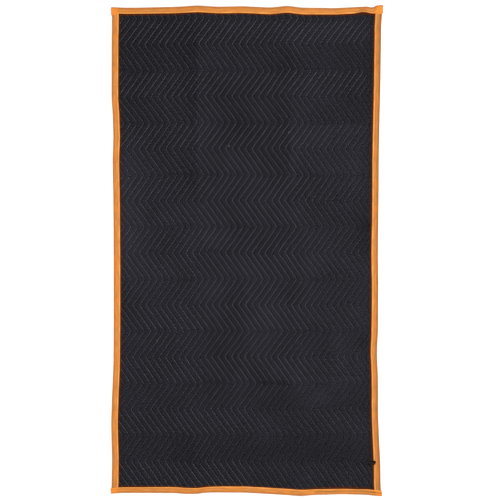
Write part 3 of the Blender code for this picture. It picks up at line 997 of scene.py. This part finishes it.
patches = add_node(
    tape_tree, "ShaderNodeTexNoise", Vector=tape_uv, Scale=1 / PATCH_SPACE, Detail=2.0
).outputs["Fac"]
swing = add_node(tape_tree, "ShaderNodeMath", SUBTRACT, _0=patches, _1=0.5)
banded_place = add_node(tape_tree, "ShaderNodeMath", MULTIPLY_ADD, _0=swing, _1=PATCH_WANDER, _2=from_fold)
# Painted light and shade in bands across the tape: painted shade on the roll over the fold, in the seam's dip
# and at the lip's edge, and a painted highlight on the puffed lip
band_share = add_node(
    tape_tree, "ShaderNodeMapRange", Value=banded_place, From_Min=0.0, From_Max=BANDS_REACH
)
bands = add_node(tape_tree, "ShaderNodeValToRGB", Fac=band_share)
BAND_TONES = (
    (0.0, "c47e3e"), (0.16, "ae692d"), (0.3, "bb7636"), (0.55, "c07a3a"),
    (0.64, "b9722f"), (0.72, "d08842"), (0.87, "da9049"), (1.0, "b8702f"),
)
for place, tone in BAND_TONES[1:-1]:
    bands.color_ramp.elements.new(place).color = linear(tone)
bands.color_ramp.elements[0].color = linear(BAND_TONES[0][1])
bands.color_ramp.elements[-1].color = linear(BAND_TONES[-1][1])
streak_tone = add_node(
    tape_tree, "ShaderNodeMapRange", Value=streaks, From_Min=0.25, From_Max=0.75, To_Min=0.7, To_Max=1.3
)
streaked = add_node(
    tape_tree, "ShaderNodeMix", COLOURS | {"blend_type": "MULTIPLY"}, Factor=1.0, _6=bands, _7=streak_tone
).outputs[2]
unfaded_share = add_node(
    tape_tree, "ShaderNodeMapRange", Value=patches, From_Min=0.42, From_Max=0.7, To_Max=0.5
)
unfaded = add_node(
    tape_tree, "ShaderNodeMix", COLOURS, Factor=unfaded_share, _6=streaked, _7=linear("cd7622")
).outputs[2]
# Painted highlight on the thick turned-in ends at the corners
over_lap = add_node(tape_tree, "ShaderNodeAttribute", {"attribute_name": "lap"}).outputs["Fac"]
lap_highlight_share = add_node(tape_tree, "ShaderNodeMath", MULTIPLY, _0=over_lap, _1=LAP_HIGHLIGHT_SHARE)
lap_highlight_tone = add_node(
    tape_tree, "ShaderNodeMix", COLOURS, Factor=lap_highlight_share, _6=unfaded, _7=linear("e3842b")
).outputs[2]
# Painted shade: the strip is darkened towards a deep brown
tape_shade_share = add_node(tape_tree, "ShaderNodeAttribute", {"attribute_name": "painted_tape_shade"}).outputs["Fac"]
shaded_tape = add_node(tape_tree, "ShaderNodeMix", COLOURS, Factor=tape_shade_share, _6=lap_highlight_tone, _7=linear("1a120c"))
tape_tree.links.new(shaded_tape.outputs[2], tape_shader.inputs["Base Color"])
ribs = threads(tape_tree, tape_axes["Y"], RIB_SPACE)
picks = threads(tape_tree, tape_axes["X"], PICK_SPACE)
pick_relief = add_node(tape_tree, "ShaderNodeMath", MULTIPLY, _0=picks, _1=PICK_RELIEF)
tape_relief = add_node(tape_tree, "ShaderNodeMath", MULTIPLY_ADD, _0=ribs, _1=RIB_RELIEF, _2=pick_relief)
tape_bump = add_node(tape_tree, "ShaderNodeBump", Strength=0.6, Distance=1.0, Height=tape_relief)
tape_tree.links.new(tape_bump.outputs[0], tape_shader.inputs["Normal"])


def guided_flap(along, side_name, flap):
    """How far the tape reaches in over the panel, at a place along a strip."""
    places, extra = np.array(GUIDED[side_name]).T * MM
    return flap + float(np.interp(along, places, extra))


def long_half(along):
    return HALF_EDGE


long_places = list(np.arange(-LENGTH / 2 + 2.2 * MM, LENGTH / 2 - 2.2 * MM, STRIP_STEP))
long_strips, sewn_seams = [], []
# The third number is the strip's painted shade; the right strip is painted darkest
for side_name, sign, tape_shade, seed in (("left", -1, 0, 31), ("right", 1, 0.42, 41)):

    def long_flap(along, side_name=side_name):
        return guided_flap(along, side_name, SIDE_FLAP)

    def put_long(along, inward, height, sign=sign):
        return sign * (WIDTH / 2 - inward), along, height

    strip = (long_flap, long_places, put_long, long_half, seed)
    long_strips.append(sew_tape("tape_" + side_name, strip, 0, len(long_places) - 1, LENGTH, tape_shade))
    sewn_seams.append(strip)


# Head and foot binding. The same tape, sewn on last: it laps over the ends of the long strips, and its
# own ends are turned in, which makes a thick square at each corner, with a painted highlight. The one at
# the left of the head is turned in askew, and hangs over.
ASKEW = 8 * MM
ASKEW_FROM = WIDTH / 2 - 19 * MM
CORNER_LIFT = 1.4 * MM
CORNER_PROUD = 2.5 * MM
STEP_TOP = WIDTH / 2 - SIDE_FLAP - 1 * MM
STEP_RUN = 8 * MM
END_ROUND = 1.5 * MM
END_WALL = 2.1 * MM


def short_half(along):
    """Half of a short strip's thickness: it steps up over the long strip, and is rounded off at its end."""
    thicker = CORNER_LIFT * float(smooth_rise((abs(along) - STEP_TOP + STEP_RUN) / STEP_RUN))
    past = np.clip((abs(along) - WIDTH / 2 - CORNER_PROUD + END_ROUND) / END_ROUND, 0, 1)
    return HALF_EDGE + thicker - END_ROUND * 0.8 * float(1 - math.sqrt(1 - past**2))


half_short = WIDTH / 2 + CORNER_PROUD
open_end = half_short - END_WALL
open_places = np.linspace(-open_end, open_end, int(2 * open_end / STRIP_STEP))
end_rounds = half_short - END_ROUND * (1 - np.sin(np.linspace(0, 1, 5) * math.pi / 2))
short_places = [*(-end_rounds[::-1]), *open_places, *end_rounds]
# The fifth number is the strip's painted shade
for end_name, sign, flap, askew, tape_shade, seed in (
    ("head", 1, HEAD_FLAP, ASKEW, 0.05, 51),
    ("foot", -1, FOOT_FLAP, 0, 0, 61),
):

    def short_flap(along, end_name=end_name, flap=flap, askew=askew):
        hang = askew * float(smooth_rise((-along - ASKEW_FROM) / (5 * MM)))
        return guided_flap(along, end_name, flap) + hang

    def put_short(along, inward, height, sign=sign):
        return along, sign * (LENGTH / 2 - inward), height

    strip = (short_flap, short_places, put_short, short_half, seed)
    first = len(end_rounds)
    last = first + len(open_places) - 1
    sew_tape("tape_" + end_name, strip, first, last, STEP_TOP, tape_shade)
    sewn_seams.append((short_flap, short_places[1:-1], put_short, short_half, seed))


# Binding seams. One row of orange lockstitches holds each folded strip, through both of its sides and
# the panel between them. The stitches are 4 mm long, and lie in the dip that they pull into the tape.
SEAM_STITCH = 4 * MM
SEAM_THREAD_RADIUS = 0.35 * MM

# Orange polyester sewing thread: smooth and a little glossy, dyed to match the tape
seam_thread, seam_tree, seam_shader = new_material(
    "orange_polyester_thread", Roughness=0.45, Specular_IOR_Level=0.5
)
seam_tone = add_node(seam_tree, "ShaderNodeAttribute", {"attribute_name": "tone"}).outputs["Fac"]
seam_colour = add_node(
    seam_tree, "ShaderNodeMix", COLOURS, Factor=seam_tone, _6=linear("9c5a22"), _7=linear("c47632")
)
seam_tree.links.new(seam_colour.outputs[2], seam_shader.inputs["Base Color"])

for name, side, seed in (("binding_seams_upper", 1, 71), ("binding_seams_lower", -1, 72)):
    seam_lines = []
    for flap_at, places, put, half_at, tape_seed in sewn_seams:
        line = []
        for along in places[1:-1]:
            flap = flap_at(along)
            seam = np.array([flap - SEAM_TO_LIP])
            height = tape_top(seam, flap, half_at(along), np.array([along]), tape_seed)[0]
            line.append(put(along, seam[0], side * (height + 0.5 * SEAM_THREAD_RADIUS)))
        seam_lines.append(np.column_stack((lay(*np.array(line).T), np.zeros(len(line)))))
    sew(name, seam_lines, side, SEAM_STITCH, SEAM_THREAD_RADIUS, seed, seam_thread)


# Loose ends. A tuft of black yarns, frayed from the cover cloth, curls out over the right binding near
# the foot, and three bits of pale lint lie on the cloth.
def yarn_piece(name, paths, radius, material):
    """Soft yarns along paths of points in metres, as one mesh of closed round threads."""
    curve = bpy.data.curves.new(name + "_path", "CURVE")
    curve.dimensions = "3D"
    curve.bevel_depth = radius
    curve.bevel_resolution = 1
    curve.resolution_u = 5
    curve.use_fill_caps = True
    for path in paths:
        spline = curve.splines.new("NURBS")
        spline.points.add(len(path) - 1)
        for point, place in zip(spline.points, path):
            point.co = (*place, 1)
        spline.order_u = 3
        spline.use_endpoint_u = True
    mesh = plain_mesh(name, bpy.data.objects.new(name + "_path", curve))
    mesh.materials.clear()
    mesh.materials.append(material)
    mesh.shade_smooth()
    return add_piece(name, mesh)


# Black cotton yarn: hairy and quite matt, with brownish flecks along it
black_yarn = flecked_material("black_cotton_yarn", 1.5 * MM, "100602", "24130c")

# The tuft's way on the flat pattern: u, v and height over the middle plane, in millimetres
TUFT_PATH = (
    (468, -792, 2.2),
    (478, -792, 3.8),
    (484.5, -791.5, 4.8),
    (488, -792.5, 4.8),
    (487, -796, 4.8),
    (484, -800, 4.6),
    (482, -806, 3.4),
)
TUFT_YARNS = 26
TUFT_SPREAD, YARN_WANDER = 1.5, 0.6
FLATTENED = (1, 1, 0.3)
YARN_RADIUS = 0.65 * MM
chance = np.random.default_rng(81)
tuft_paths = []
for _ in range(TUFT_YARNS):
    aside = chance.normal(0, TUFT_SPREAD, 3) * FLATTENED
    wander = chance.normal(0, YARN_WANDER, (len(TUFT_PATH), 3)) * FLATTENED
    stop = chance.integers(5, len(TUFT_PATH) + 1)
    tuft_paths.append(lay(*((np.array(TUFT_PATH) + aside + wander) * MM).T)[:stop])
yarn_tuft = yarn_piece("yarn_tuft", tuft_paths, YARN_RADIUS, black_yarn)

# Lint: pale grey cotton fibre, rolled into loose specks a few millimetres across
pale_lint = flecked_material("pale_cotton_lint", 1 * MM, "77777a", "b4b4b2")

# Where the specks lie on the flat pattern, and how far their fibres curl, in millimetres
LINT_PLACES = ((161, 438), (-340, -342), (-66, 390))
LINT_CURL = 1.1
LINT_RADIUS = 0.3 * MM
lint_paths = []
for u, v in LINT_PLACES:
    u, v = np.array([u * MM]), np.array([v * MM])
    on_cloth = lay(u, v, face_height(u, v, 1))[0]
    for _ in range(3):
        curl = chance.normal(0, LINT_CURL, (5, 3)) * FLATTENED * MM
        curl[:, 2] = np.abs(curl[:, 2]) + LINT_RADIUS
        lint_paths.append(on_cloth + curl)
lint_specks = yarn_piece("lint_specks", lint_paths, LINT_RADIUS, pale_lint)
